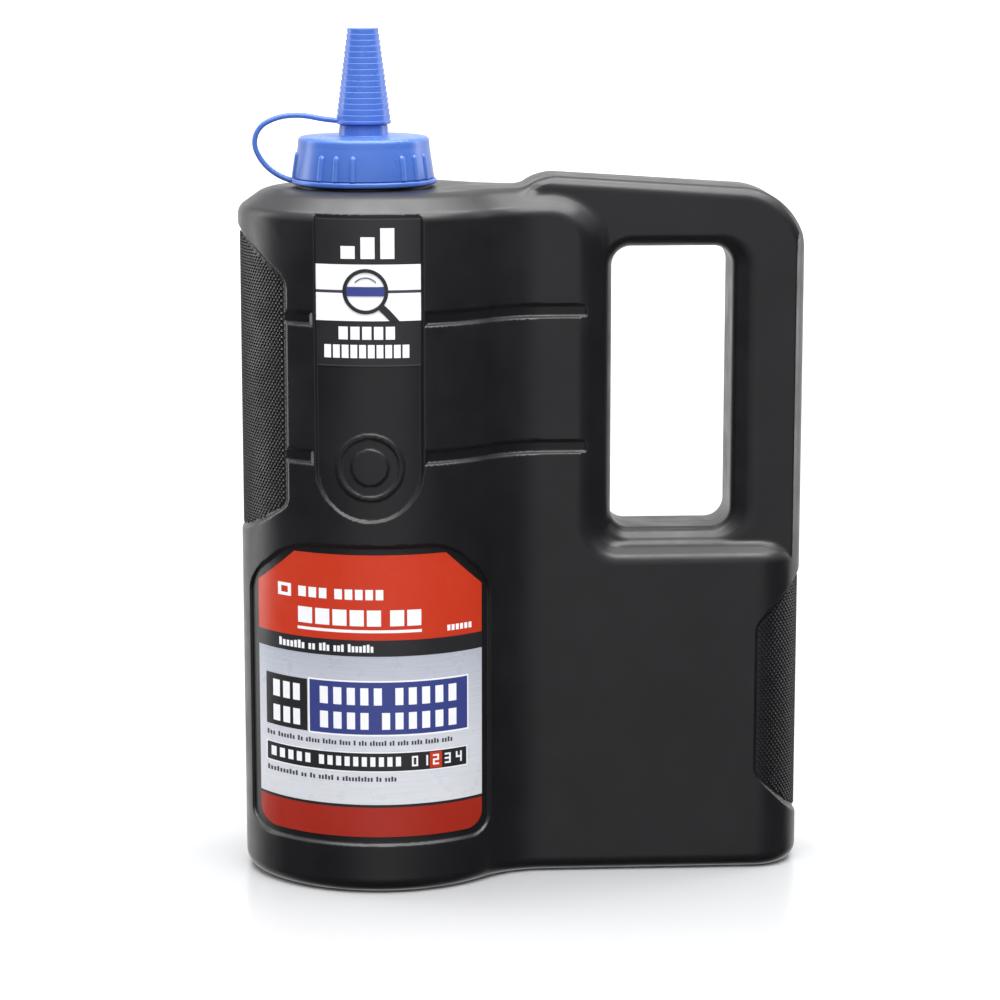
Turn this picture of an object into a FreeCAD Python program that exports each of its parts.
import FreeCAD, Part
import math
import os
import Sketcher

# Marking-chalk refill bottle: a hollow blow-moulded jug with an integral
# handle, a screw cap with a pouring nozzle, a tip cover on a tether ring and
# strap, paper labels and the settled chalk inside.
#
# Frame: +Z up, origin at the middle of the footprint on the standing surface.
# Every piece is drawn about the neck's axis (drawing X = 0) and its Placement
# moves it by frame_shift into the part's frame.

doc = FreeCAD.newDocument("chalk_bottle")
V = FreeCAD.Vector

# ---------------------------------------------------------------- dimensions
CELLS = [
    # plan outline of the bottle, drawing frame
    ("frame_shift", -48.5), ("left_reach", 39.5), ("left_rad", 33.8),
    ("front_mid", 4.3), ("half_depth", 39.0), ("hollow_rad", 27.0),
    ("slab_half", 18.5), ("right_reach", 136.5), ("corner_rad", 15.0),
    # heights
    ("ledge_low", 100.9), ("ledge_top", 104.5), ("ledge_run", 5.25),
    ("deck_bevel_low", 210.0), ("deck_top", 216.0), ("deck_run", 8.5),
    ("base_round", 5.0), ("base_push", 2.0), ("base_ring", 10.0),
    # end of the upper body next to the handle
    ("shoulder_x", 66.9), ("valley_x", 73.6),
    # walls, recesses
    ("wall", 1.7), ("recess", 0.9), ("label_gauge", 0.15), ("powder_gap", 0.3),
    # handle plate
    ("grip_half", 13.25), ("grip_left", 42.4), ("grip_left_top", 212.0),
    ("grip_peak_x", 54.2), ("grip_peak", 220.0), ("grip_slope_x", 116.1),
    ("grip_slope_top", 216.0), ("grip_right", 136.3), ("grip_corner", 20.0),
    ("grip_round", 4.0), ("grip_low", 96.0),
    # finger opening and its bevel
    ("hand_left", 75.8), ("hand_right", 113.5), ("hand_low", 109.4),
    ("hand_top", 197.8), ("hand_rad", 6.0), ("bevel_left", 72.0),
    ("bevel_right", 119.7), ("bevel_low", 105.5), ("bevel_top", 200.8),
    ("bevel_rad", 10.5), ("bevel_deep", 3.0),
    # neck and thread
    ("neck_root", 17.55), ("neck_crest", 18.75), ("neck_bore", 15.5),
    ("neck_lip", 228.8), ("bead_rad", 20.8), ("bead_top", 216.8),
    ("thread_pitch", 4.2333), ("thread_from", 220.7), ("thread_base", 2.4),
    ("thread_tip", 1.1), ("neck_turns", 1.5), ("cap_turns", 1.25),
    # screw cap
    ("cap_axis", -48.95), ("skirt_low", 218.7), ("skirt_rad", 21.8), ("skirt_top_rad", 20.3),
    ("skirt_top", 229.4), ("cap_top", 231.4), ("cap_round", 2.0),
    ("cap_bore", 19.0), ("cap_female", 17.85), ("cap_ceiling", 229.8),
    ("collar_rad", 7.8), ("collar_top_rad", 7.4), ("collar_top", 235.2),
    ("spout_rad", 6.5), ("spout_tip_rad", 3.1), ("spout_top", 261.3),
    ("spout_bore", 5.2), ("spout_tip_bore", 1.9),
    ("rib_wide", 1.7), ("rib_proud", 0.75), ("rib_top", 226.6), ("rib_first", 29.4),
    ("rib_step", 14.5), ("rib_groups", 5),
    # sealing liner
    ("liner_low", 228.82), ("liner_high", 229.78), ("liner_rad", 18.7), ("liner_bore", 9.0),
    # tether ring, strap and tip cover
    ("ring_low", 216.9), ("ring_high", 218.6), ("ring_rad", 22.5), ("ring_bore", 19.05),
    ("strap_wide", 4.0), ("strap_gauge", 1.55),
    ("cover_low", 235.25), ("cover_lip", 236.3), ("cover_lip_rad", 8.55),
    ("cover_rad", 8.4), ("cover_tip_rad", 4.65), ("cover_top", 264.4),
    ("cover_gap", 0.12), ("cover_ceiling", 262.9), ("cover_steps", 16),
    # labels
    ("panel_half", 36.8), ("panel_low", 15.7), ("panel_top", 109.5), ("panel_cut", 12.0),
    ("label_half", 34.3), ("label_low", 18.2), ("label_top", 107.0), ("label_cut", 11.5),
    ("strip_half", 16.0), ("strip_low", 117.5), ("strip_top", 210.4),
    ("badge_half", 15.7), ("badge_low", 164.9), ("badge_top", 209.6),
    # grooves and grip pads
    ("groove_a", 179.0), ("groove_b", 136.7), ("groove_tall", 3.6),
    ("groove_left", -26.0), ("groove_right", 67.0),
    ("pad_left", -25.0), ("pad_low", 121.0), ("pad_high", 190.0),
    ("pad_end_low", 109.5), ("pad_end_high", 204.5),
    ("toe_left", 121.3), ("toe_low", 30.5), ("toe_high", 79.2),
    ("toe_end_low", 15.5), ("toe_end_high", 95.0),
    # settled chalk
    ("fill_level", 201.0),
]

sheet = doc.addObject("Spreadsheet::Sheet", "Dims")
for row, (alias, value) in enumerate(CELLS, start=1):
    sheet.set("A%d" % row, alias)
    sheet.set("B%d" % row, repr(value))
    sheet.setAlias("B%d" % row, alias)
doc.recompute()
NUMBERS = dict(CELLS)


class Size:
    """A number together with the sheet expression that gives it."""

    def __init__(self, number, text):
        self.n = float(number)
        self.t = text

    @staticmethod
    def of(other):
        return other if isinstance(other, Size) else Size(other, repr(float(other)))

    def __add__(self, o):
        o = Size.of(o)
        return Size(self.n + o.n, "(%s + %s)" % (self.t, o.t))

    __radd__ = __add__

    def __sub__(self, o):
        o = Size.of(o)
        return Size(self.n - o.n, "(%s - %s)" % (self.t, o.t))

    def __rsub__(self, o):
        return Size.of(o) - self

    def __mul__(self, o):
        o = Size.of(o)
        return Size(self.n * o.n, "(%s * %s)" % (self.t, o.t))

    __rmul__ = __mul__

    def __truediv__(self, o):
        o = Size.of(o)
        return Size(self.n / o.n, "(%s / %s)" % (self.t, o.t))

    def __neg__(self):
        return Size(-self.n, "(-1 * %s)" % self.t)


def S(name):
    return Size(NUMBERS[name], "Dims.%s" % name)


ZERO = Size(0, "0")


def plane(body, role):
    for f in body.Origin.OriginFeatures:
        if f.Role == role:
            return f
    raise RuntimeError("no plane " + role)


class Outline:
    """A closed sketch profile whose sizes are bound to the sheet."""

    def __init__(self, body, name, role="XY_Plane", offset=None, turn=None):
        self.s = body.newObject("Sketcher::SketchObject", name)
        self.s.AttachmentSupport = (plane(body, role), [""])
        self.s.MapMode = "FlatFace"
        rot = FreeCAD.Rotation()
        if turn is not None:
            rot = FreeCAD.Rotation(V(0, 1, 0), turn.n)
        off = offset.n if offset is not None else 0.0
        self.s.AttachmentOffset = FreeCAD.Placement(V(0, 0, off), rot)
        if offset is not None:
            self.s.setExpression("AttachmentOffset.Base.z", offset.t)
        if turn is not None:
            self.s.setExpression("AttachmentOffset.Rotation.Angle", turn.t)
        self.ends = []

    def line(self, p, q):
        g = self.s.addGeometry(Part.LineSegment(V(p[0], p[1], 0), V(q[0], q[1], 0)), False)
        self.ends.append(((p[0], p[1]), (q[0], q[1])))
        return g

    def arc(self, c, r, a0, a1):
        # anticlockwise from a0 to a1, radians
        circle = Part.Circle(V(c[0], c[1], 0), V(0, 0, 1), r)
        g = self.s.addGeometry(Part.ArcOfCircle(circle, a0, a1), False)
        p = (c[0] + r * math.cos(a0), c[1] + r * math.sin(a0))
        q = (c[0] + r * math.cos(a1), c[1] + r * math.sin(a1))
        self.ends.append((p, q))
        return g

    def join(self, a, b, tangent=False):
        best = None
        for i in (0, 1):
            for j in (0, 1):
                d = math.dist(self.ends[a][i], self.ends[b][j])
                if best is None or d < best[0]:
                    best = (d, i + 1, j + 1)
        if best[0] > 0.02:
            raise RuntimeError("ends do not meet in %s: %d %d %.4f" % (self.s.Name, a, b, best[0]))
        kind = "Tangent" if tangent else "Coincident"
        self.s.addConstraint(Sketcher.Constraint(kind, a, best[1], b, best[2]))

    def size(self, kind, args, value):
        i = self.s.addConstraint(Sketcher.Constraint(kind, *args, value.n))
        self.s.setExpression("Constraints[%d]" % i, value.t)

    def at(self, g, pos, x=None, y=None):
        if x is not None:
            self.size("DistanceX", (-1, 1, g, pos), x)
        if y is not None:
            self.size("DistanceY", (-1, 1, g, pos), y)

    def polygon(self, pts):
        """Closed polygon of (Size, Size) corners."""
        n = len(pts)
        g = []
        for i in range(n):
            p, q = pts[i], pts[(i + 1) % n]
            g.append(self.line((p[0].n, p[1].n), (q[0].n, q[1].n)))
        for i in range(n):
            self.s.addConstraint(Sketcher.Constraint("Coincident", g[i], 2, g[(i + 1) % n], 1))
        for i in range(n):
            self.at(g[i], 1, pts[i][0], pts[i][1])
        return g

    def round_rect(self, x0, x1, y0, y1, r):
        X0, X1, Y0, Y1, R = x0.n, x1.n, y0.n, y1.n, r.n
        h = math.pi / 2
        g = [
            self.line((X0 + R, Y0), (X1 - R, Y0)),
            self.arc((X1 - R, Y0 + R), R, -h, 0),
            self.line((X1, Y0 + R), (X1, Y1 - R)),
            self.arc((X1 - R, Y1 - R), R, 0, h),
            self.line((X1 - R, Y1), (X0 + R, Y1)),
            self.arc((X0 + R, Y1 - R), R, h, 2 * h),
            self.line((X0, Y1 - R), (X0, Y0 + R)),
            self.arc((X0 + R, Y0 + R), R, 2 * h, 3 * h),
        ]
        for i in range(8):
            self.join(g[i], g[(i + 1) % 8], True)
        for k in (0, 4):
            self.s.addConstraint(Sketcher.Constraint("Horizontal", g[k]))
        for k in (2, 6):
            self.s.addConstraint(Sketcher.Constraint("Vertical", g[k]))
        self.at(g[0], 1, None, y0)
        self.at(g[4], 1, None, y1)
        self.at(g[2], 1, x1, None)
        self.at(g[6], 1, x0, None)
        for k in (1, 3, 5, 7):
            self.size("Radius", (g[k],), r)
        return g

    def plan(self, d, end="full", ax=None, bx=None, by=None):
        """The bottle's plan, moved inwards by d. end 'full' runs to the
        rounded right end; 'column' stops at the step beside the handle."""
        lr = S("left_rad") - d
        lx = S("left_rad") - S("left_reach")
        # front arc: internally tangent to the left arc, deepest at half_depth
        gap = S("half_depth") - S("left_rad")
        run = S("front_mid") - lx
        fy = (run * run - gap * gap) / (2 * gap)
        fr = S("half_depth") + fy - d
        hr = S("hollow_rad") + d
        sy = S("slab_half") - d
        L = (lx.n, 0.0)
        F = (S("front_mid").n, fy.n)
        R1 = fr.n + hr.n
        # hollow arc centre: tangent to the front arc and to the slab's face
        cy = -(sy.n + hr.n)
        cx = F[0] + math.sqrt(R1 * R1 - (cy - F[1]) ** 2)
        aLF = math.atan2(L[1] - F[1], L[0] - F[0])          # towards the left join
        aFC = math.atan2(cy - F[1], cx - F[0])              # towards the hollow
        pi = math.pi
        g = []
        left = self.arc(L, lr.n, -aLF, 2 * pi + aLF) if aLF < 0 else self.arc(L, lr.n, aLF, -aLF)
        front = self.arc(F, fr.n, aLF, aFC)
        hollow = self.arc((cx, cy), hr.n, pi / 2, aFC + pi)
        back_h = self.arc((cx, -cy), hr.n, -(aFC + pi), -pi / 2)
        back = self.arc((F[0], -F[1]), fr.n, -aFC, -aLF)
        if end == "full":
            rr = S("corner_rad") - d
            rx = S("right_reach") - d
            c = rx.n - rr.n
            f1 = self.line((cx, -sy.n), (c, -sy.n))
            k1 = self.arc((c, -sy.n + rr.n), rr.n, -pi / 2, 0)
            e = self.line((rx.n, -sy.n + rr.n), (rx.n, sy.n - rr.n))
            k2 = self.arc((c, sy.n - rr.n), rr.n, 0, pi / 2)
            f2 = self.line((c, sy.n), (cx, sy.n))
            chain = [left, front, hollow, f1, k1, e, k2, f2, back_h, back]
            for i in range(len(chain)):
                self.join(chain[i], chain[(i + 1) % len(chain)], True)
            self.s.addConstraint(Sketcher.Constraint("Vertical", e))
            self.at(e, 1, rx, None)
            for k in (k1, k2):
                self.size("Radius", (k,), rr)
        else:
            A, B, C = ax.n, bx.n, by.n
            f1 = self.line((cx, -sy.n), (A, -sy.n))
            s1 = self.line((A, -sy.n), (B, -C))
            e = self.line((B, -C), (B, C))
            s2 = self.line((B, C), (A, sy.n))
            f2 = self.line((A, sy.n), (cx, sy.n))
            chain = [left, front, hollow, f1, s1, e, s2, f2, back_h, back]
            for i in range(len(chain)):
                a, b = chain[i], chain[(i + 1) % len(chain)]
                sharp = {a, b} & {s1, s2}
                self.join(a, b, not sharp)
            self.at(f1, 2, ax, None)
            self.at(f2, 1, ax, None)
            self.at(e, 1, bx, -by)
            self.at(e, 2, bx, by)
        self.s.addConstraint(Sketcher.Constraint("Horizontal", f1))
        self.s.addConstraint(Sketcher.Constraint("Horizontal", f2))
        self.at(f1, 1, None, -sy)
        self.at(f2, 2, None, sy)
        self.at(left, 3, lx, ZERO)
        self.size("Radius", (left,), lr)
        self.size("DistanceX", (-1, 1, front, 3), S("front_mid"))
        self.size("DistanceX", (-1, 1, back, 3), S("front_mid"))
        self.size("Radius", (front,), fr)
        self.size("Radius", (back,), fr)
        self.size("Radius", (hollow,), hr)
        self.size("Radius", (back_h,), hr)
        return g


def body(name):
    return doc.addObject("PartDesign::Body", name)


def pad(b, name, profile, length, both=False, reverse=False):
    p = b.newObject("PartDesign::Pad", name)
    p.Profile = profile.s
    p.Length = length.n
    p.setExpression("Length", length.t)
    if both:
        p.SideType = "Symmetric"
    p.Reversed = reverse
    b.Tip = p
    doc.recompute()
    return p


def loft(b, name, first, second, cut=False):
    p = b.newObject("PartDesign::SubtractiveLoft" if cut else "PartDesign::AdditiveLoft", name)
    p.Profile = first.s
    p.Sections = [second.s]
    p.Ruled = True
    b.Tip = p
    doc.recompute()
    return p


def pocket_both(b, name, profile, length):
    before = b.Shape.Volume
    p = b.newObject("PartDesign::Pocket", name)
    p.Profile = profile.s
    p.Length = length.n
    p.setExpression("Length", length.t)
    p.SideType = "Symmetric"
    b.Tip = p
    doc.recompute()
    if not b.Shape.Volume < before - 1.0:
        raise RuntimeError(name + " cut nothing")
    return p


def revolve(b, name, profile):
    p = b.newObject("PartDesign::Revolution", name)
    p.Profile = profile.s
    p.ReferenceAxis = (profile.s, ["V_Axis"])
    p.Angle = 360
    b.Tip = p
    doc.recompute()
    return p


def edges(shape, test):
    return ["Edge%d" % (i + 1) for i, e in enumerate(shape.Edges) if test(e)]


def soften(b, name, base, names, radius):
    f = b.newObject("PartDesign::Fillet", name)
    f.Base = (base, names)
    f.Radius = radius.n
    f.setExpression("Radius", radius.t)
    b.Tip = f
    doc.recompute()
    return f


# ------------------------------------------------- the jug, solid, offset by d
def jug_solid(tag, d, floor):
    """Solid jug moved inwards by d, as one fuse of three bodies. Its outside
    has d = 0; the cavity and the chalk inside use the same outlines."""
    # lower body and its ledge under the handle
    low = body(tag + "_lower")
    a = Outline(low, tag + "_lower_plan", offset=floor)
    a.plan(d)
    pad(low, tag + "_lower_pad", a, S("ledge_low") - 0.5 * d - floor)
    c = Outline(low, tag + "_ledge_plan_a", offset=S("ledge_low") - 0.5 * d)
    c.plan(d)
    e = Outline(low, tag + "_ledge_plan_b", offset=S("ledge_top") - d)
    e.plan(d + S("ledge_run"))
    loft(low, tag + "_ledge", c, e)
    z0 = floor.n
    names = edges(low.Shape, lambda q: abs(q.BoundBox.ZMin - z0) < 1e-4 and abs(q.BoundBox.ZMax - z0) < 1e-4)
    soften(low, tag + "_base_round", low.Tip, names, S("base_round") - d)

    # upper body under the neck, with its wide bevel up to the deck
    up = body(tag + "_upper")
    ax, bx, by = S("shoulder_x") - 1.1 * d, S("valley_x") - 1.4 * d, S("grip_half") - d
    u = Outline(up, tag + "_upper_plan", offset=floor + 20)
    u.plan(d, "column", ax, bx, by)
    pad(up, tag + "_upper_pad", u, S("deck_bevel_low") - 0.4 * d - floor - 20)
    v = Outline(up, tag + "_deck_plan_a", offset=S("deck_bevel_low") - 0.4 * d)
    v.plan(d, "column", ax, bx, by)
    w = Outline(up, tag + "_deck_plan_b", offset=S("deck_top") - d)
    k = S("deck_run")
    w.plan(d + k, "column", ax - 0.8 * k, bx - 0.8 * k, by - 0.9 * k)
    loft(up, tag + "_deck_bevel", v, w)

    # handle plate with its finger opening
    han = body(tag + "_handle")
    o = Outline(han, tag + "_handle_side", "XZ_Plane")
    rx, R = S("grip_right") - d, S("grip_corner") - d
    x0, z_low = S("grip_left"), S("grip_low")
    pk, pz = S("grip_peak_x"), S("grip_peak") - d
    sx, sz = S("grip_slope_x"), S("grip_slope_top") - d
    slope = (sz.n - pz.n) / (sx.n - pk.n)
    ang = math.atan(slope)
    # corner arc: tangent to the sloping top and to the right side
    ccx = rx.n - R.n
    ccz = pz.n + slope * (ccx - pk.n) - R.n / math.cos(ang)
    tx, tz = ccx - R.n * math.sin(ang), ccz + R.n * math.cos(ang)
    l0 = o.line((x0.n, z_low.n), (rx.n, z_low.n))
    l1 = o.line((rx.n, z_low.n), (rx.n, ccz))
    c0 = o.arc((ccx, ccz), R.n, 0, math.pi / 2 + ang)
    l2 = o.line((tx, tz), (pk.n, pz.n))
    l3 = o.line((pk.n, pz.n), (x0.n, S("grip_left_top").n - d.n))
    l4 = o.line((x0.n, S("grip_left_top").n - d.n), (x0.n, z_low.n))
    o.join(l0, l1)
    o.join(l1, c0, True)
    o.join(c0, l2, True)
    o.join(l2, l3)
    o.join(l3, l4)
    o.join(l4, l0)
    o.at(l0, 1, x0, z_low)
    o.at(l0, 2, rx, z_low)
    o.s.addConstraint(Sketcher.Constraint("Vertical", l1))
    o.size("Radius", (c0,), R)
    o.at(l2, 2, pk, pz)
    i = o.s.addConstraint(Sketcher.Constraint("Angle", l2, math.pi + ang))
    o.at(l3, 2, x0, S("grip_left_top") - d)
    half = S("grip_half") - d
    pad(han, tag + "_handle_pad", o, half * 2, both=True)
    y_face = half.n
    keep_low = z_low.n

    def outer_edge(q):
        bb = q.BoundBox
        if abs(abs(bb.YMin) - y_face) > 1e-4 or abs(bb.YMax - bb.YMin) > 1e-4:
            return False
        return bb.ZMin > keep_low - 1 and (bb.ZMax - bb.ZMin > 0.01 or bb.ZMin > 150) \
            and not (bb.XMax < x0.n + 0.01) and not (bb.ZMax < keep_low + 0.01)

    names = edges(han.Shape, outer_edge)
    soften(han, tag + "_handle_round", han.Tip, names, S("grip_round") - d)
    h = Outline(han, tag + "_hand_hole", "XZ_Plane")
    hl, hr = S("hand_left") - d, S("hand_right") + d
    hz, ht = S("hand_low") - d, S("hand_top") + d
    h.round_rect(hl, hr, hz, ht, S("hand_rad") + d)
    pocket_both(han, tag + "_hand_pocket", h, half * 2 + 4)
    # the bevel around the opening, on both faces, run 1 mm past the face
    grow = (S("bevel_deep") + 1) / S("bevel_deep")
    wl = S("hand_left") - (S("hand_left") - S("bevel_left")) * grow - d
    wr = S("hand_right") + (S("bevel_right") - S("hand_right")) * grow + d
    wz = S("hand_low") - (S("hand_low") - S("bevel_low")) * grow - d
    wt = S("hand_top") + (S("bevel_top") - S("hand_top")) * grow + d
    for side, sign in (("front", 1), ("back", -1)):
        before = han.Shape.Volume
        n = Outline(han, "%s_bevel_%s_in" % (tag, side), "XZ_Plane", offset=sign * (half - S("bevel_deep")))
        n.round_rect(hl, hr, hz, ht, S("hand_rad") + d)
        m = Outline(han, "%s_bevel_%s_out" % (tag, side), "XZ_Plane", offset=sign * (half + 1))
        m.round_rect(wl, wr, wz, wt, S("bevel_rad") + d)
        loft(han, "%s_bevel_%s" % (tag, side), n, m, cut=True)
        if not han.Shape.Volume < before - 1.0:
            raise RuntimeError("handle bevel cut nothing")
    return [low, up, han]


def fuse(name, parts):
    f = doc.addObject("Part::MultiFuse", name)
    f.Shapes = parts
    f.Refine = True
    doc.recompute()
    return f


def cut(name, base, tool):
    f = doc.addObject("Part::Cut", name)
    f.Base = base
    f.Tool = tool
    f.Refine = True
    doc.recompute()
    return f


def common(name, base, tool):
    f = doc.addObject("Part::Common", name)
    f.Base = base
    f.Tool = tool
    f.Refine = True
    doc.recompute()
    return f


def cylinder(name, radius, low, high):
    c = doc.addObject("Part::Cylinder", name)
    c.Radius = radius.n
    c.setExpression("Radius", radius.t)
    c.Height = (high - low).n
    c.setExpression("Height", (high - low).t)
    c.Placement = FreeCAD.Placement(V(0, 0, low.n), FreeCAD.Rotation())
    c.setExpression("Placement.Base.z", low.t)
    return c


def helix(b, name, root, crest, start, turns, outward, turn=None):
    """Trapezoid thread on a cylinder: sunk 0.3 into its wall."""
    sink = -0.3 if outward else 0.3
    o = Outline(b, name + "_form", "XZ_Plane", turn=turn)
    hb, htip = S("thread_base") / 2, S("thread_tip") / 2
    o.polygon([(root + sink, start - hb), (crest, start - htip), (crest, start + htip), (root + sink, start + hb)])
    p = b.newObject("PartDesign::AdditiveHelix", name)
    p.Profile = o.s
    p.ReferenceAxis = (o.s, ["V_Axis"])
    p.Mode = "pitch-turns-angle"
    p.Pitch = NUMBERS["thread_pitch"]
    p.setExpression("Pitch", "Dims.thread_pitch")
    p.Turns = turns.n
    p.setExpression("Turns", turns.t)
    p.Angle = 0
    p.LeftHanded = False
    p.Reversed = False
    b.Tip = p
    doc.recompute()
    return p


# ---------------------------------------------------------------- bottle
outer_parts = jug_solid("outer", ZERO, ZERO)

neck = body("neck")
o = Outline(neck, "neck_profile", "XZ_Plane")
deck_in = S("deck_top") - 3
o.polygon([
    (ZERO, deck_in), (S("bead_rad"), deck_in), (S("bead_rad"), S("bead_top")),
    (S("neck_root") + 0.6, S("bead_top")), (S("neck_root"), S("bead_top") + 0.4), (S("neck_root"), S("neck_lip") - 0.5),
    (S("neck_root") - 0.5, S("neck_lip")), (ZERO, S("neck_lip")),
])
revolve(neck, "neck_turned", o)
helix(neck, "neck_thread", S("neck_root"), S("neck_crest"), S("thread_from"), S("neck_turns"), True)
neck.Placement = FreeCAD.Placement(V(NUMBERS["cap_axis"] - NUMBERS["frame_shift"], 0, 0), FreeCAD.Rotation())
neck.setExpression("Placement.Base.x", "Dims.cap_axis - Dims.frame_shift")

outer = fuse("outer", outer_parts + [neck])

# shallow recesses for the labels, the centre strip, grooves and grip pads:
# side outlines run right through, kept outside the plan moved in by 'recess'
plates = []


def plate(name, pts):
    b = body(name)
    q = Outline(b, name + "_side", "XZ_Plane")
    q.polygon(pts)
    pad(b, name + "_pad", q, S("half_depth") * 2 + 4, both=True)
    plates.append(b)
    return b


def chamfered(half, low, top, c, corner=3.0):
    return [(-half + corner, low), (half - corner, low), (half, low + corner), (half, top - c),
            (half - c, top), (-half + c, top), (-half, top - c), (-half, low + corner)]


plate("label_panel", chamfered(S("panel_half"), S("panel_low"), S("panel_top"), S("panel_cut")))
plate("centre_strip", [
    (-S("strip_half") + 9.4, S("strip_low")), (S("strip_half") - 9.4, S("strip_low")),
    (S("strip_half"), S("strip_low") + 9.4), (S("strip_half"), S("strip_top") - 2),
    (S("strip_half") - 2, S("strip_top")), (-S("strip_half") + 2, S("strip_top")),
    (-S("strip_half"), S("strip_top") - 2), (-S("strip_half"), S("strip_low") + 9.4)])
for tag, level in (("upper", S("groove_a")), ("lower", S("groove_b"))):
    hg = S("groove_tall") / 2
    plate(tag + "_groove", [(S("groove_left"), level - hg), (S("groove_right") + 3, level - hg),
                            (S("groove_right") + 3, level + hg), (S("groove_left"), level + hg)])
edge = -S("left_reach") - 3
plate("grip_pad_left", [(S("pad_left"), S("pad_low")), (S("pad_left"), S("pad_high")),
                        (edge, S("pad_end_high")), (edge, S("pad_end_low"))])
far = S("right_reach") + 3
plate("grip_pad_right", [(S("toe_left"), S("toe_low")), (far, S("toe_end_low")),
                         (far, S("toe_end_high")), (S("toe_left"), S("toe_high"))])
all_plates = fuse("plates", plates)

core = body("recess_core")
o = Outline(core, "recess_core_plan", offset=Size(-10, "-10"))
o.plan(S("recess"))
pad(core, "recess_core_pad", o, Size(260, "260"))
recess_tool = cut("recess_tool", all_plates, core)
skin = cut("skin", outer, recess_tool)

# push-up in the base
push = body("base_push_up")
o = Outline(push, "base_push_plan", offset=Size(-2, "-2"))
o.plan(S("base_ring"))
pad(push, "base_push_pad", o, S("base_push") + 2)
shell = cut("shell_solid", skin, push)

# the cavity: the same outlines moved in by the wall, and the neck's bore
floor_in = S("wall") + S("base_push")
cavity_parts = jug_solid("cavity", S("wall"), floor_in)
bore = cylinder("neck_hole", S("neck_bore"), S("deck_top") - 8, S("neck_lip") + 2)
bore.setExpression("Placement.Base.x", "Dims.cap_axis - Dims.frame_shift")
cavity = fuse("cavity", cavity_parts + [bore])
bottle = cut("bottle", shell, cavity)

# ---------------------------------------------------------------- labels
sleeve_out = body("label_outer")
o = Outline(sleeve_out, "label_outer_plan", offset=Size(0, "0"))
o.plan(S("recess") - S("label_gauge"))
pad(sleeve_out, "label_outer_pad", o, Size(240, "240"))


def label(name, pts, front=True):
    b = body(name + "_area")
    q = Outline(b, name + "_side", "XZ_Plane", offset=S("half_depth") * (0.5 if front else -0.5))
    q.polygon(pts)
    # the pad covers only the half of the bottle that the label is on
    pad(b, name + "_pad", q, S("half_depth"), both=True)
    sheet_solid = cut(name + "_sheet", sleeve_out, core)
    out = common(name, sheet_solid, b)
    return out


front_label = label("front_label", chamfered(S("label_half"), S("label_low"), S("label_top"), S("label_cut")))
rear_label = label("rear_label", chamfered(S("label_half"), S("label_low"), S("label_top"), S("label_cut")), front=False)
upper_label = label("upper_label", chamfered(S("badge_half"), S("badge_low"), S("badge_top"), Size(2, "2"), 0.6))

# ---------------------------------------------------------------- chalk
chalk_parts = jug_solid("chalk", S("wall") + S("powder_gap"), floor_in + S("powder_gap"))
chalk_all = fuse("chalk_all", chalk_parts)
level = doc.addObject("Part::Box", "fill_box")
level.Length, level.Width = 300, 120
level.Height = NUMBERS["fill_level"]
level.setExpression("Height", "Dims.fill_level")
level.Placement = FreeCAD.Placement(V(-80, -60, 0), FreeCAD.Rotation())
chalk = common("chalk_powder", chalk_all, level)

# ---------------------------------------------------------------- screw cap
cap = body("screw_cap")
o = Outline(cap, "cap_profile", "XZ_Plane")
o.polygon([
    (S("cap_bore") + 0.5, S("skirt_low")), (S("skirt_rad"), S("skirt_low")),
    (S("skirt_top_rad"), S("skirt_top")), (S("skirt_top_rad") - 2.1, S("cap_top")),
    (S("collar_rad"), S("cap_top")), (S("collar_top_rad"), S("collar_top")),
    (S("spout_rad"), S("collar_top")), (S("spout_tip_rad"), S("spout_top")),
    (S("spout_tip_bore"), S("spout_top")), (S("spout_bore"), S("collar_top") + 1),
    (S("spout_bore") + 0.9, S("cap_ceiling")), (S("cap_bore"), S("cap_ceiling")),
    (S("cap_bore"), S("skirt_low") + 0.6),
])
revolve(cap, "cap_turned", o)
ribs = []
for k in (-1, 0, 1):
    o = Outline(cap, "rib_side_%d" % (k + 2), "XZ_Plane", turn=S("rib_first") + k * S("rib_step"))
    rise = (S("skirt_rad") - S("skirt_top_rad")) / (S("skirt_top") - S("skirt_low"))
    r_low = S("skirt_rad") + S("rib_proud")
    r_high = S("skirt_rad") + S("rib_proud") - rise * (S("rib_top") - S("skirt_low"))
    o.polygon([(S("skirt_top_rad") - 0.6, S("skirt_low") + 0.1), (r_low, S("skirt_low") + 0.1),
               (r_high, S("rib_top") - 0.7), (r_high - 0.5, S("rib_top")),
               (S("skirt_top_rad") - 0.6, S("rib_top") + 0.2)])
    ribs.append(pad(cap, "rib_%d" % (k + 2), o, S("rib_wide"), both=True))
pattern = cap.newObject("PartDesign::PolarPattern", "rib_pattern")
pattern.Originals = ribs
pattern.Axis = (cap.Tip.Profile[0], ["V_Axis"])
pattern.Angle = 360
pattern.Occurrences = NUMBERS["rib_groups"]
pattern.setExpression("Occurrences", "Dims.rib_groups")
cap.Tip = pattern
doc.recompute()
helix(cap, "cap_thread", S("cap_bore"), S("cap_female"), S("thread_from"), S("cap_turns"), False, turn=Size(180, "180"))

# ---------------------------------------------------------------- liner
liner = body("cap_liner")
o = Outline(liner, "liner_profile", "XZ_Plane")
o.polygon([(S("liner_bore"), S("liner_low")), (S("liner_rad"), S("liner_low")),
           (S("liner_rad"), S("liner_high")), (S("liner_bore"), S("liner_high"))])
revolve(liner, "liner_turned", o)

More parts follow.
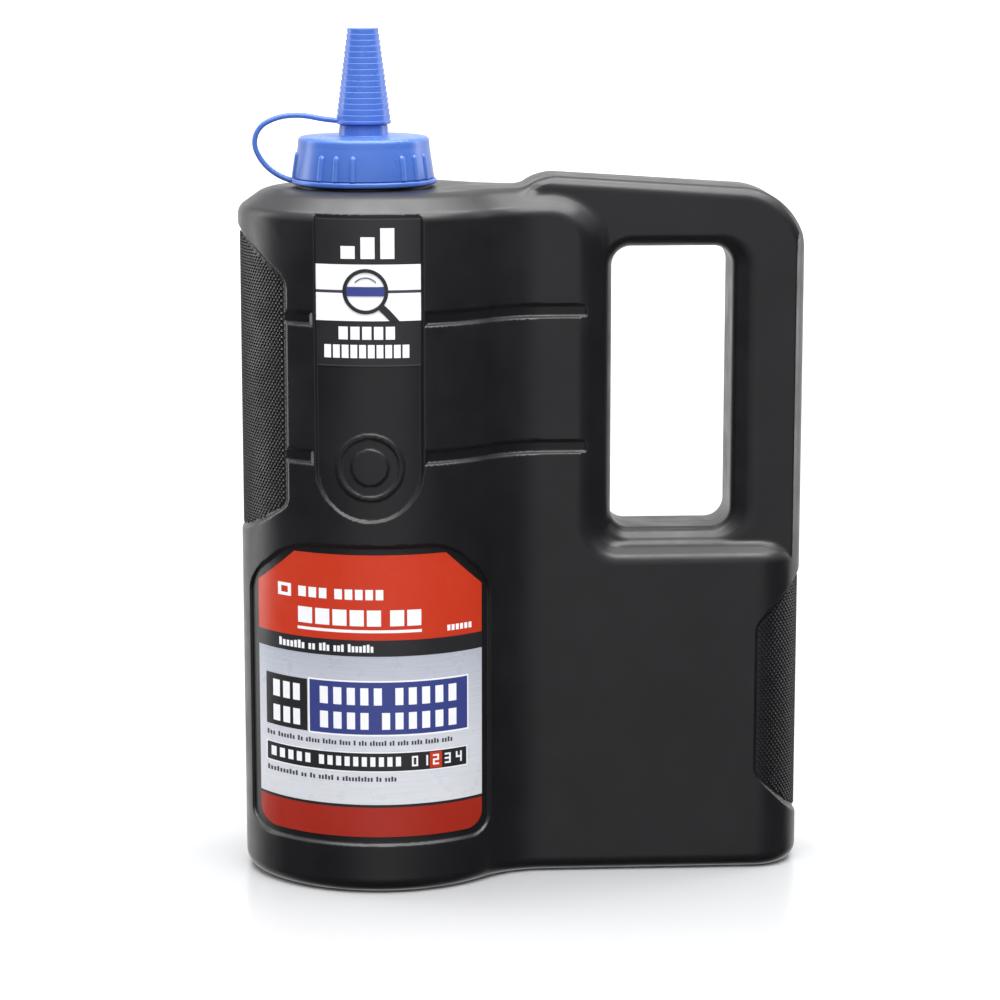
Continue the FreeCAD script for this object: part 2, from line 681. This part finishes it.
# ---------------------------------------------------------------- tether ring
ring = body("tether_ring")
o = Outline(ring, "ring_profile", "XZ_Plane")
c = 0.35
o.polygon([(S("ring_bore"), S("ring_low")), (S("ring_rad") - c, S("ring_low")),
           (S("ring_rad"), S("ring_low") + c), (S("ring_rad"), S("ring_high") - c),
           (S("ring_rad") - c, S("ring_high")), (S("ring_bore"), S("ring_high"))])
revolve(ring, "ring_turned", o)

# ---------------------------------------------------------------- tether strap
# Middle line of the strap in the drawing's XZ plane, from the ring out and
# over to the tip cover: each arc is (centre x, centre z, radius, from, to) in
# degrees, joined end to end.
STRAP = []


def strap_chain(start, heading, steps):
    """Tangent arcs: steps of (radius, signed turn in degrees)."""
    x, z = start
    a = math.radians(heading)
    out = []
    for r, turn in steps:
        s = 1 if turn > 0 else -1
        cx, cz = x - s * r * math.sin(a), z + s * r * math.cos(a)
        b0 = math.atan2(z - cz, x - cx)
        a += math.radians(turn)
        b1 = b0 + math.radians(turn)
        x, z = cx + r * math.cos(b1), cz + r * math.sin(b1)
        out.append((cx, cz, r, b0, b1, s))
    return out, (x, z)


STEPS = [(17.229, -21.584), (14.693, -29.829), (6.997, -83.689), (17.004, -22.923), (25.005, -18.104), (57.273, 7.074)]
STRAP, strap_end = strap_chain((-22.62, 217.95), 164.197, STEPS)
print("strap end", strap_end, "length", sum(r * abs(math.radians(q)) for r, q in STEPS))

strap = body("tether_strap")
o = Outline(strap, "strap_side", "XZ_Plane")
half_t = S("strap_gauge") / 2
outs, ins = [], []
for cx, cz, r, b0, b1, s in STRAP:
    for store, off in ((outs, 1), (ins, -1)):
        # clockwise arcs (s < 0) curve towards the tip cover: outside is r + t
        rad = r + (half_t.n * off if s < 0 else -half_t.n * off)
        lo, hi = (b0, b1) if b1 > b0 else (b1, b0)
        store.append(o.arc((cx, cz), rad, lo, hi))


def tip_point(item, off, first):
    cx, cz, r, b0, b1, s = item
    rad = r + (half_t.n * off if s < 0 else -half_t.n * off)
    b = b0 if first else b1
    return (cx + rad * math.cos(b), cz + rad * math.sin(b))


w0 = o.line(tip_point(STRAP[0], 1, True), tip_point(STRAP[0], -1, True))
w1 = o.line(tip_point(STRAP[-1], 1, False), tip_point(STRAP[-1], -1, False))
for store in (outs, ins):
    for i in range(len(store) - 1):
        o.join(store[i], store[i + 1], False)
for g, w in ((outs[0], w0), (ins[0], w0), (outs[-1], w1), (ins[-1], w1)):
    o.join(g, w)
# the strap's thickness sets the inner and outer radius of each arc
for i, (cx, cz, r, b0, b1, s) in enumerate(STRAP):
    for g, off in ((outs[i], 1), (ins[i], -1)):
        o.size("Radius", (g,), Size(r, repr(r)) + (half_t * (off if s < 0 else -off)))
pad(strap, "strap_pad", o, S("strap_wide"), both=True)

# ---------------------------------------------------------------- tip cover
cover = body("tip_cover")
o = Outline(cover, "cover_profile", "XZ_Plane")
gap_r = S("cover_gap")
pts = [(S("spout_rad") + gap_r, S("cover_low")), (S("cover_lip_rad"), S("cover_low")), (S("cover_lip_rad"), S("cover_lip"))]
n = int(NUMBERS["cover_steps"])
tall = (S("cover_top") - S("cover_lip")) / S("cover_steps")
fall = (S("cover_rad") - S("cover_tip_rad")) / S("cover_steps")
for i in range(n):
    z_a = S("cover_lip") + i * tall
    z_b = S("cover_lip") + (i + 1) * tall
    r_a = S("cover_rad") - i * fall
    pts.append((r_a - 0.14, z_a))
    pts.append((r_a - 0.02, z_b))
pts.append((ZERO, S("cover_top")))
pts.append((ZERO, S("cover_ceiling")))
pts.append((S("spout_tip_rad") + gap_r, S("cover_ceiling")))
pts.append((S("spout_tip_rad") + gap_r, S("spout_top")))
o.polygon(pts)
revolve(cover, "cover_turned", o)

doc.recompute()

# ---------------------------------------------------------------- placements
PIECES = {
    "bottle": (bottle, "frame_shift"), "chalk_powder": (chalk, "frame_shift"),
    "front_label": (front_label, "frame_shift"), "rear_label": (rear_label, "frame_shift"),
    "upper_label": (upper_label, "frame_shift"),
    "screw_cap": (cap, "cap_axis"), "cap_liner": (liner, "cap_axis"),
    "tether_ring": (ring, "cap_axis"), "tether_strap": (strap, "cap_axis"), "tip_cover": (cover, "cap_axis"),
}
for name, (obj, shift) in PIECES.items():
    obj.Label = name
    obj.Placement = FreeCAD.Placement(V(NUMBERS[shift], 0, 0), FreeCAD.Rotation())
    obj.setExpression("Placement.Base.x", "Dims." + shift)
doc.recompute()

# ---------------------------------------------------------------- checks
for obj in doc.Objects:
    if "Invalid" in obj.State or "Error" in obj.State:
        raise RuntimeError("failed: %s %s" % (obj.Name, obj.State))
for name, (obj, shift) in PIECES.items():
    sh = obj.Shape
    if sh.isNull() or not sh.isValid() or len(sh.Solids) < 1:
        raise RuntimeError("bad shape: " + name)
    bb = sh.BoundBox
    print("%-14s solids %d volume %9.2f cm3  x %7.2f %7.2f  y %7.2f %7.2f  z %7.2f %7.2f" % (
        name, len(sh.Solids), sh.Volume / 1000.0, bb.XMin, bb.XMax, bb.YMin, bb.YMax, bb.ZMin, bb.ZMax))

os.makedirs("parts", exist_ok=True)
for name, (obj, shift) in PIECES.items():
    obj.Shape.exportStep("parts/%s.step" % name)
